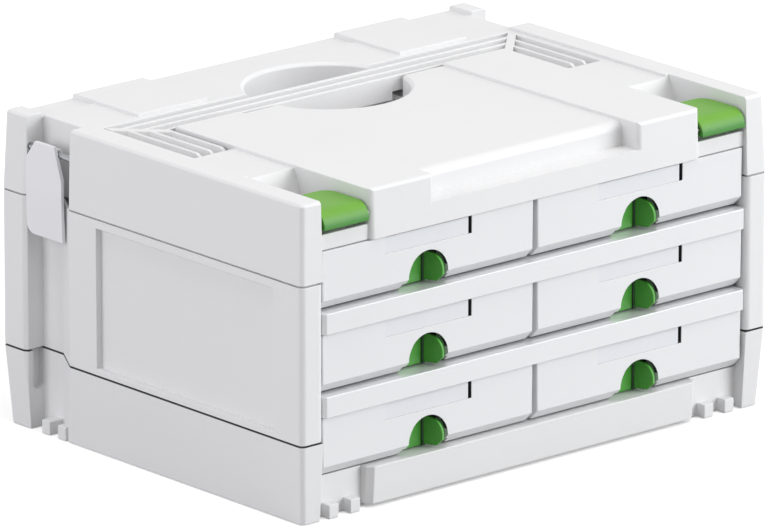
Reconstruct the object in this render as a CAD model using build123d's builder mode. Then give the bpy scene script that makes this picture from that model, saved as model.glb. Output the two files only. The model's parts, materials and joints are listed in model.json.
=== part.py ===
from build123d import *
import math
import os

# Drawer organizer case: three stacked shells around six drawers in two columns.
# Millimetres, +Z up, the front faces -Y, the origin is the centre of the bottom face.

os.makedirs("parts", exist_ok=True)

# Drawers, which the case is built around
drawer_width = 176.85
drawer_depth = 283.0
drawer_gap = 3.3
drawer_side_gap = 1.5
drawer_rear_gap = 4.0
drawer_lift = 0.8
drawer_head_gap = 0.6
runner_gap = 0.3
runner_width = 3.0
runner_spread = 140.0
runner_setback = 24.0
drawer_draft = 1.5
front_setback = 3.0
front_thickness = 17.0
front_edge_radius = 2.5
front_chamfer = 7.0
drawer_wall = 2.6
drawer_floor = 2.4
drawer_rim_drop = 3.5

# Rows and shells
row_count = 3
row_pitch = 54.5
shelf_nose_height = 13.9
lid_crown = 33.2
base_height = 52.5
deck_drop = 25.3
lid_height = 52.5
base_draft = 3.5
lid_draft = 2.0
pillar_width = 18.0
pillar_edge_radius = 4.0
rear_wall = 6.0
corner_radius = 4.0
seam_width = 0.8
seam_depth = 1.6
lid_edge_chamfer = 1.5

# Hollow side walls and panel recesses
liner_thickness = 4.0
side_hollow_width = 7.0
side_hollow_front = 8.0
side_hollow_rear = 70.0
panel_depth = 4.5
panel_front_margin = 28.0
panel_rear_margin = 95.0
panel_bottom_margin = 5.1
panel_top_margin = 6.5
back_panel_depth = 3.0
back_panel_side_margin = 48.0

# Latch channels at the rear of both sides
channel_depth = 14.4
channel_width = 44.0
channel_slope = 24.0
lid_channel_depth = 16.0
lid_channel_slope = 6.0
rear_post = 24.0
post_bevel_width = 2.0
post_bevel_length = 3.0

# Shelves and deck
plate_thickness = 3.0
nose_thickness = 5.0
nose_end_bevel = 2.0
shelf_end_gap = 0.8
shelf_tongue = 1.7
tongue_setback = 11.0
groove_depth = 2.0
groove_headroom = 0.3
guide_rib_width = 2.0
guide_rib_height = 7.0
guide_rib_front = 28.0
shelf_rib_width = 2.0
shelf_rib_height = 7.0
shelf_rib_pitch = 60.0
seat_gap = 0.3

# Base front and floor
base_floor = 3.0
foot_recess = 2.0
foot_rim = 42.0
deck_ledge = 6.0
deck_setback = 18.0
base_rib_width = 2.5
base_rib_pitch = 87.0
bay_corner_width = 40.0
apron_depth = 10.5
apron_edge = 4.0
apron_lift = 2.0
apron_wall = 4.0
tooth_width = 8.0
tooth_depth = 7.5
tooth_height = 9.0
tooth_pitch = 17.8
side_tooth_depth = 11.0
side_tooth_pitch = 16.0
side_tooth_setback = 23.0
post_slot_width = 8.5
post_slot_depth = 5.0
post_slot_length = 27.0

# Lid top
lid_skin = 5.5
lid_wall = 3.0
cavity_side_wall = 22.0
lid_front_wall = 5.0
cavity_rear_wall = 10.0
plate_half = 87.0
plate_step = 2.0
rear_step = 3.5
edge_strip = 20.5
notch_depth = 17.5
notch_height = 18.0
notch_edge_radius = 6.0
notch_end_radius = 3.0
rail_edge_radius = 4.0
block_inner = 82.0
block_front_gap = 4.0
rear_ledge = 24.0
cap_width = 15.0

# Carry handle
handle_side_margin = 4.6
handle_bar_setback = 72.1
handle_rib_width = 2.55
handle_groove_width = 7.6
handle_groove_count = 3
handle_groove_depth = 4.5
handle_web = 8.0
handle_thickness = 10.5
grip_half = 46.0
grip_thickness = 16.0
handle_gap = 0.5
handle_inner_gap = 2.4
handle_arm_reach = 87.0
handle_end_radius = 5.0
handle_pivot_inset = 5.0
handle_overswing = 5.0
handle_rest_offset = 110.0
handle_rest_width = 10.0
handle_stub_radius = 2.8
handle_stub_length = 5.0
stub_clearance = 0.3
bowl_radius = 54.0
bowl_depth = 26.0
bowl_rim_bevel = 2.0
bowl_floor_radius = 9.0
bowl_scoop_flats = 4
bowl_wall = 3.0

# Front coupling latches in their pockets
pocket_floor = 6.2
pocket_lip = 10.2
pocket_lip_thickness = 2.5
strip_setback = 4.0
pocket_length = 76.0
pocket_slope = 12.0
pocket_wall = 3.0
latch_side_gap = 1.5
latch_length = 40.5
latch_face_setback = 0.5
latch_plate = 2.8
latch_top_drop = 7.7
latch_nose_radius = 11.0
latch_corner_radius = 9.0
latch_hinge_setback = 5.5
latch_hinge_drop = 15.5
latch_barrel_radius = 4.2
latch_lip_drop = 0.8
latch_rest_width = 10.0
latch_rest_setback = 23.0
rest_gap = 0.3
pin_radius = 2.0
pin_seat = 2.3
pin_bore_clearance = 0.05
hinge_clearance = 0.3

# Side coupling latches
flap_length = 62.5
flap_front_gap = 7.4
flap_rear_gap = 1.0
flap_thickness = 2.6
flap_bow = 0.8
flap_top_width = 19.0
flap_top_taper = 12.0
flap_front_taper = 22.0
flap_bottom_radius = 7.0
flap_top_drop = 14.5
flap_hinge_drop = 6.0
flap_hinge_inset = 5.0
flap_barrel_radius = 4.0
flap_barrel_width = 18.0

# Drawer front details
arch_radius = 16.5
arch_height = 24.2
arch_skin = 3.0
lever_cavity_half = 19.0
lever_cavity_top = 25.5
lever_cavity_depth = 14.5
lever_pivot_offset = 6.0
lever_pivot_setback = 11.8
lever_hub_half = 2.2
lever_stub_radius = 1.6
lever_stub_length = 5.0
lever_wall_thickness = 1.5
lever_wall_left = 15.0
lever_fin_reach = 14.5
lever_fin_angle = 20.0
lever_fin_thickness = 2.4
lever_fin_base = 1.8
lever_fin_top = 20.6
lever_fin_shoulder = 9.4
lever_fin_cut = 4.5
lever_clearance = 0.5
label_width = 72.6
label_base = 28.3
label_depth = 2.0
label_wall = 2.0
label_slot_depth = 11.0
label_hollow_width = 20.0
label_hollow_rim = 1.5
card_thickness = 1.4
card_end_gap = 2.5
card_clearance = 0.3
card_top_gap = 0.6
divider_groove_count = 5
divider_groove_pitch = 44.0
divider_groove_depth = 1.0
divider_thickness = 1.8
divider_clearance = 0.2
divider_height = 30.0

# Sizes that follow from the ones above
bay_half = drawer_gap / 2 + drawer_width + drawer_side_gap
half_width = bay_half + pillar_width
half_depth = (front_setback + drawer_depth + drawer_rear_gap + rear_wall) / 2
bay_rear = half_depth - rear_wall
opening_height = row_pitch - shelf_nose_height
deck_height = base_height - deck_drop
bay_top = deck_height + (row_count - 1) * row_pitch + opening_height
case_height = bay_top + lid_crown
lid_seam = case_height - lid_height
body_height = lid_seam - base_height
column_centre = (drawer_gap + drawer_width) / 2
drawer_front = front_setback - half_depth
drawer_rear = drawer_front + drawer_depth
drawer_top = opening_height - drawer_head_gap
row_floors = [deck_height + row * row_pitch for row in range(row_count)]
channel_back = half_depth - rear_post
channel_start = channel_back - channel_width
channel_floor = half_width - channel_depth
liner = bay_half + liner_thickness
lid_channel_floor = half_width - lid_channel_depth
overcut = 10.0
near = 1.0


def channel_plan(side, floor, slope):
    """Plan of a latch channel: a sloping front wall, a flat floor and a bevelled rear post."""
    points = [
        (half_width + overcut, channel_start),
        (half_width, channel_start),
        (floor, channel_start + slope),
        (floor, channel_back),
        (half_width - post_bevel_width, channel_back),
        (half_width, channel_back + post_bevel_length),
        (half_width + overcut, channel_back + post_bevel_length),
    ]
    return [(side * x, y) for x, y in points[::side]]


def cut_box(low, high):
    """Take the box between two opposite corners out of the part being built."""
    middle = tuple((a + b) / 2 for a, b in zip(low, high))
    size = [b - a for a, b in zip(low, high)]
    with Locations(middle):
        Box(*size, mode=Mode.SUBTRACT)


def add_box(low, high):
    """Join the box between two opposite corners to the part being built."""
    middle = tuple((a + b) / 2 for a, b in zip(low, high))
    size = [b - a for a, b in zip(low, high)]
    with Locations(middle):
        Box(*size)


def both_sides(box, low, high):
    """Apply a box on the right-hand side and its mirror image on the left."""
    box(low, high)
    box((-high[0], low[1], low[2]), (-low[0], high[1], high[2]))


def upright(edge):
    """True for an edge that runs up the part, straight or along a draft."""
    return abs((edge @ 1 - edge @ 0).Z) > near


def round_uprights(edges, radius):
    """Break drafted upright edges in three flats that follow a round of this radius."""
    first_leg = radius * (2 - math.sqrt(2))
    chamfer(edges(), first_leg)
    second_leg = radius * (1 - math.tan(math.pi / 16)) - first_leg
    chamfer(edges(), second_leg)


def save(piece, name):
    """Label a finished piece and write it out under its own name."""
    piece.label = name
    export_step(piece, f"parts/{name}.step")


# Base shell: a drafted tub with an open front, a stepped apron and interlocking teeth
apron_half = bay_half - bay_corner_width
panel_face = -half_depth + apron_depth
deck_front = -half_depth + deck_setback
deck_underside = deck_height - plate_thickness
base_angle = math.degrees(math.atan2(base_draft, base_height))
with BuildPart() as base_shell:
    with BuildSketch(Plane.XY.offset(base_height)):
        Rectangle(2 * half_width, 2 * half_depth)
    extrude(amount=-base_height, taper=base_angle)
    round_uprights(lambda: base_shell.edges().filter_by(upright), corner_radius)
    for side in (-1, 1):
        with BuildSketch():
            Polygon(*channel_plan(side, channel_floor, channel_slope), align=None)
        extrude(amount=base_height, mode=Mode.SUBTRACT)
    cut_box((-bay_half, -half_depth - overcut, deck_height), (bay_half, bay_rear, base_height))
    cut_box((-bay_half, deck_front, deck_underside), (bay_half, bay_rear, base_height))
    cut_box(
        (deck_ledge - bay_half, deck_front + deck_ledge, base_floor + foot_recess),
        (bay_half - deck_ledge, bay_rear - deck_ledge, base_height),
    )
    for rib in (-1, 0, 1):
        add_box(
            (rib * base_rib_pitch - base_rib_width / 2, deck_front + deck_ledge, base_floor),
            (rib * base_rib_pitch + base_rib_width / 2, bay_rear - deck_ledge, deck_underside),
        )
    both_sides(
        cut_box,
        (liner, side_hollow_front + base_draft - half_depth, base_floor),
        (liner + side_hollow_width, half_depth - side_hollow_rear, base_height),
    )
    cut_box(
        (foot_rim - half_width, foot_rim - half_depth, 0),
        (half_width - foot_rim, half_depth - foot_rim, foot_recess),
    )
    cut_box(
        (apron_wall - apron_half, base_draft + apron_wall - half_depth, 0),
        (apron_half - apron_wall, deck_front, deck_height - apron_wall),
    )
    both_sides(cut_box, (apron_half, -half_depth - overcut, 0), (bay_half, panel_face, deck_height))
    cut_box((-apron_half, -half_depth - overcut, 0), (apron_half, panel_face, apron_lift))
    apron_ends = base_shell.edges().filter_by_position(Axis.Y, -half_depth - near, panel_face - near)
    apron_ends = apron_ends.filter_by(lambda edge: abs(abs(edge.center().X) - apron_half) < near)
    chamfer(apron_ends.filter_by_position(Axis.Z, apron_lift + near, deck_height - near), apron_edge)
    for tooth in (-0.5, 0.5):
        middle = (apron_half + bay_half) / 2 + tooth * tooth_pitch
        both_sides(
            add_box,
            (middle - tooth_width / 2, panel_face - tooth_depth, 0),
            (middle + tooth_width / 2, panel_face, tooth_height),
        )
        middle = channel_back - side_tooth_setback - tooth * side_tooth_pitch
        both_sides(
            add_box,
            (channel_floor - liner_thickness, middle - tooth_width / 2, 0),
            (channel_floor + side_tooth_depth, middle + tooth_width / 2, tooth_height),
        )
    with BuildSketch(Plane.XZ.offset(-channel_back)):
        slot_middle = channel_floor + post_slot_width / 2
        with Locations((slot_middle, base_height), (-slot_middle, base_height)):
            SlotOverall(2 * post_slot_length, post_slot_width, rotation=90)
    extrude(amount=-post_slot_depth, mode=Mode.SUBTRACT)
save(base_shell.part, "base_shell")

# Deck: the plate in the base that the bottom drawers slide on
with BuildPart() as base_deck:
    add_box(
        (seat_gap - bay_half, deck_front + seat_gap, deck_underside),
        (bay_half - seat_gap, bay_rear - seat_gap, deck_height),
    )
    add_box(
        (-guide_rib_width / 2, guide_rib_front - half_depth, deck_height),
        (guide_rib_width / 2, drawer_rear, deck_height + guide_rib_height),
    )
save(base_deck.part, "base_deck")

# Body shell: hollow side walls, front pillars and a back wall, open above and below
with BuildPart() as body_shell:
    with BuildSketch(Plane.XY.offset(base_height + seam_width)) as body_plan:
        RectangleRounded(2 * half_width, 2 * half_depth, corner_radius)
        with Locations((0, (bay_rear - half_depth - overcut) / 2)):
            Rectangle(2 * bay_half, bay_rear + half_depth + overcut, mode=Mode.SUBTRACT)
        for side in (-1, 1):
            Polygon(*channel_plan(side, channel_floor, channel_slope), align=None, mode=Mode.SUBTRACT)
        pillar_corners = body_plan.vertices().filter_by_position(Axis.X, -bay_half - near, bay_half + near)
        pillar_corners = pillar_corners.filter_by_position(Axis.Y, -half_depth - near, near - half_depth)
        fillet(pillar_corners, pillar_edge_radius)
    extrude(amount=body_height - 2 * seam_width)
    with BuildSketch(Plane.XY.offset(base_height)):
        add(body_plan.sketch_local)
        offset(amount=-seam_depth, kind=Kind.INTERSECTION)
    extrude(amount=body_height)
    both_sides(
        cut_box,
        (liner, side_hollow_front - half_depth, base_height),
        (liner + side_hollow_width, half_depth - side_hollow_rear, lid_seam),
    )
    both_sides(
        cut_box,
        (half_width - panel_depth, panel_front_margin - half_depth, base_height + panel_bottom_margin),
        (half_width + overcut, half_depth - panel_rear_margin, lid_seam - panel_top_margin),
    )
    cut_box(
        (
            back_panel_side_margin - half_width,
            half_depth - back_panel_depth,
            base_height + panel_bottom_margin,
        ),
        (
            half_width - back_panel_side_margin,
            half_depth + overcut,
            lid_seam - panel_top_margin,
        ),
    )
    for floor in row_floors[1:]:
        both_sides(
            cut_box,
            (bay_half, tongue_setback - seat_gap - half_depth, floor - plate_thickness),
            (bay_half + groove_depth, bay_rear, floor + groove_headroom),
        )
save(body_shell.part, "body_shell")

# Shelf: a ribbed plate with a deep front nosing and side tongues that sit in the body's grooves
shelf_half = bay_half - shelf_end_gap
with BuildPart() as shelf:
    add_box((-shelf_half, -half_depth, -plate_thickness), (shelf_half, bay_rear - seat_gap, 0))
    add_box((-shelf_half, -half_depth, -shelf_nose_height), (shelf_half, nose_thickness - half_depth, 0))
    nose_ends = shelf.edges().filter_by(Axis.Z)
    chamfer(nose_ends.filter_by_position(Axis.Y, -half_depth - near, near - half_depth), nose_end_bevel)
    tongue_half = bay_half + shelf_tongue
    add_box(
        (-tongue_half, tongue_setback - half_depth, -plate_thickness),
        (tongue_half, bay_rear - seat_gap, 0),
    )
    for place in (-2, -1, 1, 2):
        add_box(
            (
                place * shelf_rib_pitch - shelf_rib_width / 2,
                nose_thickness - half_depth,
                -plate_thickness - shelf_rib_height,
            ),
            (
                place * shelf_rib_pitch + shelf_rib_width / 2,
                drawer_rear,
                -plate_thickness,
            ),
        )
    add_box(
        (-guide_rib_width / 2, guide_rib_front - half_depth, 0),
        (guide_rib_width / 2, drawer_rear, guide_rib_height),
    )
for name, floor in zip(("lower_shelf", "upper_shelf"), row_floors[1:]):
    save(shelf.part.moved(Location((0, 0, floor))), name)

# Lid shell: drafted cover with a handle tray, a hand bowl, two latch pockets and stepped top plates
lid_angle = math.degrees(math.atan2(lid_draft, lid_height))
top_level = case_height - plate_step
rear_level = case_height - rear_step
strip_inner = half_width - edge_strip
pocket_inner = bay_half - bay_corner_width
pocket_rear = pocket_length - half_depth
cavity_half = half_width - cavity_side_wall
cavity_roof = case_height - lid_skin
cavity_front = notch_depth + lid_wall - half_depth
notch_floor = case_height - notch_height
rear_edge = half_depth - rear_ledge
handle_pitch = handle_groove_width + handle_rib_width
handle_width = handle_groove_count * handle_pitch
tray_half = strip_inner - handle_side_margin
tray_rear = half_depth - handle_bar_setback
tray_inner = pocket_inner
handle_half = tray_half - handle_gap
handle_rear = tray_rear - handle_gap
handle_inner = tray_half - handle_width
handle_bar_front = tray_rear - handle_width
tray_bar_front = handle_bar_front - handle_inner_gap
handle_front = tray_rear - handle_arm_reach
handle_bottom = top_level - handle_thickness
groove_bottom = top_level - handle_groove_depth
handle_pivot_y = handle_front + handle_pivot_inset
handle_pivot_z = (handle_bottom + groove_bottom) / 2
end_round_height = top_level - handle_end_radius - handle_pivot_z
handle_swing = math.hypot(handle_pivot_inset - handle_end_radius, end_round_height) + handle_end_radius
tray_floor = handle_pivot_z - handle_swing - hinge_clearance
handle_lean = (top_level - handle_pivot_z) * math.tan(math.radians(handle_overswing))
tray_front = handle_pivot_y - handle_swing - handle_lean - 2 * hinge_clearance
bowl_y = (tray_rear - handle_groove_width + handle_bar_front) / 2
bowl_bottom = top_level - bowl_depth
scoop_step = math.pi / 2 / bowl_scoop_flats
scoop_reach = bowl_floor_radius / math.cos(scoop_step / 2)
bowl_scoop = [
    (
        bowl_radius - bowl_floor_radius + scoop_reach * math.cos((place + 0.5) * scoop_step),
        bowl_bottom + bowl_floor_radius - scoop_reach * math.sin((place + 0.5) * scoop_step),
    )
    for place in range(bowl_scoop_flats)
]
pocket_floor_z = bay_top + pocket_floor
pocket_lip_z = bay_top + pocket_lip
strip_face = strip_setback - half_depth
latch_hinge_y = latch_hinge_setback - half_depth
latch_hinge_z = case_height - latch_hinge_drop
latch_top = case_height - latch_top_drop
latch_middle = (pocket_inner + bay_half) / 2
flap_hinge_x = half_width - flap_hinge_inset
flap_hinge_z = case_height - flap_top_drop - flap_hinge_drop
with BuildPart() as lid_shell:
    with BuildSketch(Plane.XY.offset(lid_seam)):
        Rectangle(2 * half_width, 2 * half_depth)
    extrude(amount=lid_height, taper=lid_angle)
    round_uprights(lambda: lid_shell.edges().filter_by(upright), corner_radius)
    chamfer(lid_shell.faces().sort_by(Axis.Z)[-1].edges(), lid_edge_chamfer)
    cut_box((-bay_half, -half_depth - overcut, lid_seam), (bay_half, bay_rear, bay_top))
    cut_box(
        (-cavity_half, cavity_front, bay_top),
        (cavity_half, half_depth - cavity_rear_wall, cavity_roof),
    )
    cut_box(
        (-plate_half, lid_front_wall - half_depth, bay_top),
        (plate_half, cavity_front, notch_floor - lid_wall),
    )
    both_sides(
        cut_box,
        (liner, side_hollow_front + lid_draft - half_depth, lid_seam),
        (liner + side_hollow_width, half_depth - side_hollow_rear, cavity_roof),
    )
    both_sides(
        add_box,
        (pocket_inner - pocket_wall, cavity_front, pocket_floor_z - pocket_wall),
        (bay_half + pocket_wall, pocket_rear + pocket_wall, cavity_roof),
    )
    add_box(
        (-cavity_half, tray_front - lid_wall, tray_floor - lid_wall),
        (cavity_half, tray_rear + lid_wall, cavity_roof),
    )
    with Locations((0, bowl_y, cavity_roof)):
        Cylinder(
            bowl_radius + bowl_wall,
            cavity_roof - top_level + bowl_depth + bowl_wall,
            align=(Align.CENTER, Align.CENTER, Align.MAX),
        )
    for side in (-1, 1):
        with BuildSketch(Plane.XY.offset(lid_seam)):
            Polygon(*channel_plan(side, lid_channel_floor, lid_channel_slope), align=None)
        extrude(amount=lid_height, mode=Mode.SUBTRACT)
    for side in (-1, 1):
        with BuildSketch(Plane.YZ.offset(side * (pocket_inner + bay_half) / 2)):
            Polygon(
                (-half_depth - overcut, bay_top),
                (strip_face, bay_top),
                (strip_face, pocket_lip_z),
                (strip_face + pocket_lip_thickness, pocket_lip_z),
                (strip_face + pocket_lip_thickness, pocket_floor_z),
                (pocket_rear - pocket_slope, pocket_floor_z),
                (pocket_rear, case_height),
                (pocket_rear, case_height + overcut),
                (-half_depth - overcut, case_height + overcut),
                align=None,
            )
        extrude(amount=bay_corner_width / 2, both=True, mode=Mode.SUBTRACT)
    rail_corners = lid_shell.edges().filter_by_position(Axis.Y, -half_depth - near, strip_face - near)
    rail_corners = rail_corners.filter_by(lambda edge: abs(abs(edge.center().X) - pocket_inner) < near)
    rail_corners = rail_corners.filter_by_position(Axis.Z, pocket_lip_z, case_height - lid_edge_chamfer)
    fillet(rail_corners, rail_edge_radius)
    cut_box(
        (-plate_half, -half_depth - overcut, notch_floor),
        (plate_half, notch_depth - half_depth, case_height + overcut),
    )
    cut_box(
        (-plate_half, notch_depth - half_depth, top_level),
        (plate_half, tray_rear, case_height + overcut),
    )
    notch_edges = lid_shell.edges().filter_by(Axis.X)
    notch_edges = notch_edges.filter_by_position(Axis.Z, top_level - near, top_level + near)
    notch_back = notch_depth - half_depth
    fillet(notch_edges.filter_by_position(Axis.Y, notch_back - near, notch_back + near), notch_edge_radius)
    notch_ends = lid_shell.edges().filter_by(upright)
    notch_ends = notch_ends.filter_by_position(Axis.Y, -half_depth - near, near + lid_draft - half_depth)
    notch_ends = notch_ends.filter_by_position(Axis.Z, notch_floor, case_height - lid_edge_chamfer)
    notch_ends = notch_ends.filter_by(lambda edge: abs(abs(edge.center().X) - plate_half) < near)
    fillet(notch_ends, notch_end_radius)
    both_sides(
        cut_box,
        (pocket_inner, -half_depth - overcut, top_level),
        (strip_inner, rear_edge, case_height + overcut),
    )
    both_sides(
        cut_box,
        (pocket_inner, channel_start, top_level),
        (half_width, rear_edge, case_height + overcut),
    )
    both_sides(
        cut_box,
        (pocket_inner, rear_edge, rear_level),
        (half_width - cap_width, half_depth + overcut, case_height + overcut),
    )
    cut_box((-block_inner, tray_rear, top_level), (block_inner, rear_edge, case_height + overcut))
    cut_box((-block_inner, rear_edge, rear_level), (block_inner, half_depth, case_height + overcut))
    both_sides(
        cut_box,
        (block_inner, tray_rear, top_level),
        (pocket_inner, tray_rear + block_front_gap, case_height + overcut),
    )
    cut_box((-tray_half, tray_bar_front, tray_floor), (tray_half, tray_rear, case_height + overcut))
    both_sides(
        cut_box,
        (tray_inner, tray_front, tray_floor),
        (tray_half, tray_rear, case_height + overcut),
    )
    both_sides(
        add_box,
        (handle_rest_offset - handle_rest_width / 2, handle_bar_front, tray_floor),
        (handle_rest_offset + handle_rest_width / 2, handle_rear, handle_bottom - rest_gap),
    )
    both_sides(
        add_box,
        (latch_middle - latch_rest_width / 2, latch_rest_setback - half_depth, pocket_floor_z),
        (
            latch_middle + latch_rest_width / 2,
            latch_rest_setback + latch_rest_width - half_depth,
            latch_top - latch_plate - rest_gap,
        ),
    )
    with BuildSketch(Plane.XZ.offset(-bowl_y)):
        with BuildLine():
            Polyline(
                (0, case_height + overcut),
                (bowl_radius + bowl_rim_bevel, case_height + overcut),
                (bowl_radius + bowl_rim_bevel, top_level),
                (bowl_radius, top_level - bowl_rim_bevel),
                *bowl_scoop,
                (0, bowl_bottom),
                close=True,
            )
        make_face()
    revolve(axis=Axis((0, bowl_y, 0), (0, 0, 1)), mode=Mode.SUBTRACT)
    with Locations((0, handle_pivot_y, handle_pivot_z)):
        Cylinder(
            handle_stub_radius + stub_clearance,
            2 * (handle_half + handle_stub_length + stub_clearance),
            rotation=(0, 90, 0),
            mode=Mode.SUBTRACT,
        )
    for side in (-1, 1):
        with Locations((side * (pocket_inner + bay_half) / 2, latch_hinge_y, latch_hinge_z)):
            Cylinder(
                pin_radius + pin_bore_clearance,
                bay_corner_width + 2 * pin_seat,
                rotation=(0, 90, 0),
                mode=Mode.SUBTRACT,
            )
        with Locations((side * flap_hinge_x, (channel_start + channel_back) / 2, flap_hinge_z)):
            Cylinder(
                pin_radius + pin_bore_clearance,
                channel_width + 2 * pin_seat,
                rotation=(90, 0, 0),
                mode=Mode.SUBTRACT,
            )
save(lid_shell.part, "lid_shell")

# Carry handle: a grooved U frame that lies in the tray and swings up on two stubs
mitre = tray_half - tray_rear
with BuildPart() as carry_handle:
    add_box((-handle_half, handle_bar_front, handle_bottom), (handle_half, handle_rear, top_level))
    both_sides(
        add_box,
        (handle_inner, handle_front, handle_bottom),
        (handle_half, handle_rear, top_level),
    )
    add_box(
        (-grip_half, handle_bar_front, top_level - grip_thickness),
        (grip_half, handle_rear, handle_bottom),
    )
    arm_tips = carry_handle.edges().filter_by(Axis.X)
    arm_tips = arm_tips.filter_by_position(Axis.Y, handle_front - near, handle_front + near)
    fillet(arm_tips.group_by(Axis.Z)[-1], handle_end_radius)
    with BuildSketch(Plane.XY.offset(top_level)):
        for groove in range(handle_groove_count):
            rear = tray_rear - groove * handle_pitch
            front = rear - handle_groove_width
            Polygon(
                (-mitre - front, front),
                (mitre + front, front),
                (mitre + rear, rear),
                (-mitre - rear, rear),
                align=None,
            )
            outer = tray_half - groove * handle_pitch
            inner = outer - handle_groove_width
            for side in (-1, 1):
                corners = [
                    (side * inner, handle_front),
                    (side * outer, handle_front),
                    (side * outer, outer - mitre - handle_web),
                    (side * inner, inner - mitre - handle_web),
                ]
                Polygon(*corners[::side], align=None)
    extrude(amount=-handle_groove_depth, mode=Mode.SUBTRACT)
    for side in (-1, 1):
        with Locations((side * handle_half, handle_pivot_y, handle_pivot_z)):
            Cylinder(handle_stub_radius, 2 * handle_stub_length, rotation=(0, 90, 0))
save(carry_handle.part, "carry_handle")

# Front coupling latch, right-hand one: a rounded cap that folds forward out of its pocket
latch_face = latch_face_setback - half_depth
latch_half = bay_corner_width / 2 - latch_side_gap
nose_y = latch_face + latch_nose_radius
nose_z = latch_top - latch_nose_radius
barrel_back = latch_hinge_y + latch_barrel_radius
with BuildPart() as front_latch:
    with BuildSketch(Plane.YZ.offset(latch_middle)):
        with BuildLine():
            top = Line((latch_face + latch_length, latch_top), (nose_y, latch_top))
            nose = TangentArc(top @ 1, (latch_face, nose_z), tangent=(-1, 0))
            under = Polyline(
                nose @ 1,
                (latch_face, nose_z - latch_lip_drop),
                (latch_hinge_y, latch_hinge_z - latch_barrel_radius),
            )
            barrel = RadiusArc(under @ 1, (barrel_back, latch_hinge_z), -latch_barrel_radius)
            Polyline(
                barrel @ 1,
                (barrel_back + latch_barrel_radius, latch_top - latch_plate),
                (latch_face + latch_length, latch_top - latch_plate),
                top @ 0,
            )
        make_face()
    extrude(amount=latch_half, both=True)
    rear_corners = front_latch.edges().filter_by(Axis.Z).group_by(Axis.Y)[-1]
    fillet(rear_corners, latch_corner_radius)
    with Locations((latch_middle, latch_hinge_y, latch_hinge_z)):
        Cylinder(
            pin_radius + hinge_clearance,
            bay_corner_width,
            rotation=(0, 90, 0),
            mode=Mode.SUBTRACT,
        )
save(mirror(front_latch.part, about=Plane.YZ), "front_latch_left")
save(front_latch.part, "front_latch_right")

# Hinge pins of the front latches, pressed into the pocket walls
with BuildPart() as front_latch_pins:
    for side in (-1, 1):
        with Locations((side * latch_middle, latch_hinge_y, latch_hinge_z)):
            Cylinder(pin_radius, bay_corner_width + 2 * pin_seat - hinge_clearance, rotation=(0, 90, 0))
save(front_latch_pins.part, "front_latch_pins")

# Side coupling latch, right-hand one: a bowed flap hanging in the channel from a pin
flap_front = channel_start + flap_front_gap
flap_rear = channel_back - flap_rear_gap
flap_middle = (flap_front + flap_rear) / 2
flap_top = case_height - flap_top_drop
flap_bottom = flap_top - flap_length
with BuildPart() as side_latch:
    with BuildSketch(Plane.XZ.offset(-flap_front)):
        with BuildLine():
            outside = ThreePointArc(
                (half_width - flap_bow, flap_top),
                (half_width, (flap_top + flap_bottom) / 2),
                (half_width - flap_bow, flap_bottom),
            )
            inside = ThreePointArc(
                (half_width - flap_bow - flap_thickness, flap_bottom),
                (half_width - flap_thickness, (flap_top + flap_bottom) / 2),
                (half_width - flap_bow - flap_thickness, flap_top),
            )
            Line(outside @ 1, inside @ 0)
            Line(inside @ 1, outside @ 0)
        make_face()
    extrude(amount=flap_front - flap_rear)
    with BuildSketch(Plane.YZ.offset(channel_floor)):
        Polygon(
            (flap_front, flap_bottom),
            (flap_rear, flap_bottom),
            (flap_rear, flap_top - flap_top_taper),
            (flap_middle + flap_top_width / 2, flap_top),
            (flap_middle - flap_top_width / 2, flap_top),
            (flap_front, flap_top - flap_front_taper),
            align=None,
        )
    extrude(amount=channel_depth + overcut, mode=Mode.INTERSECT)
    bottom_corners = side_latch.edges().filter_by(Axis.X).group_by(Axis.Z)[0]
    fillet(bottom_corners.sort_by(Axis.Y)[-1], flap_bottom_radius)
    with Locations((flap_hinge_x, flap_middle, flap_hinge_z)):
        Cylinder(flap_barrel_radius, flap_barrel_width, rotation=(90, 0, 0))
        Cylinder(
            pin_radius + hinge_clearance,
            channel_width,
            rotation=(90, 0, 0),
            mode=Mode.SUBTRACT,
        )
save(mirror(side_latch.part, about=Plane.YZ), "side_latch_left")
save(side_latch.part, "side_latch_right")

# Hinge pins of the side latches, pressed into the channel walls of the lid
channel_middle = (channel_start + channel_back) / 2
with BuildPart() as side_latch_pins:
    for side in (-1, 1):
        with Locations((side * flap_hinge_x, channel_middle, flap_hinge_z)):
            Cylinder(pin_radius, channel_width + 2 * pin_seat - hinge_clearance, rotation=(90, 0, 0))
save(side_latch_pins.part, "side_latch_pins")

# Drawer, built on its own row floor at the middle of its column
drawer_half = drawer_width / 2
drawer_bottom_half = drawer_half - drawer_draft
drawer_base = drawer_lift
drawer_rim = drawer_top - drawer_rim_drop
arch_centre = arch_height - arch_radius
lever_y = drawer_front + lever_pivot_setback


def drawer_section(inset, low, high):
    """Cross section of a drawer between two heights, inset from its sloping sides."""
    def half(height):
        share = (height - drawer_base) / (drawer_top - drawer_base)
        return drawer_bottom_half + share * drawer_draft - inset
    return [(-half(low), low), (half(low), low), (half(high), high), (-half(high), high)]


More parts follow.
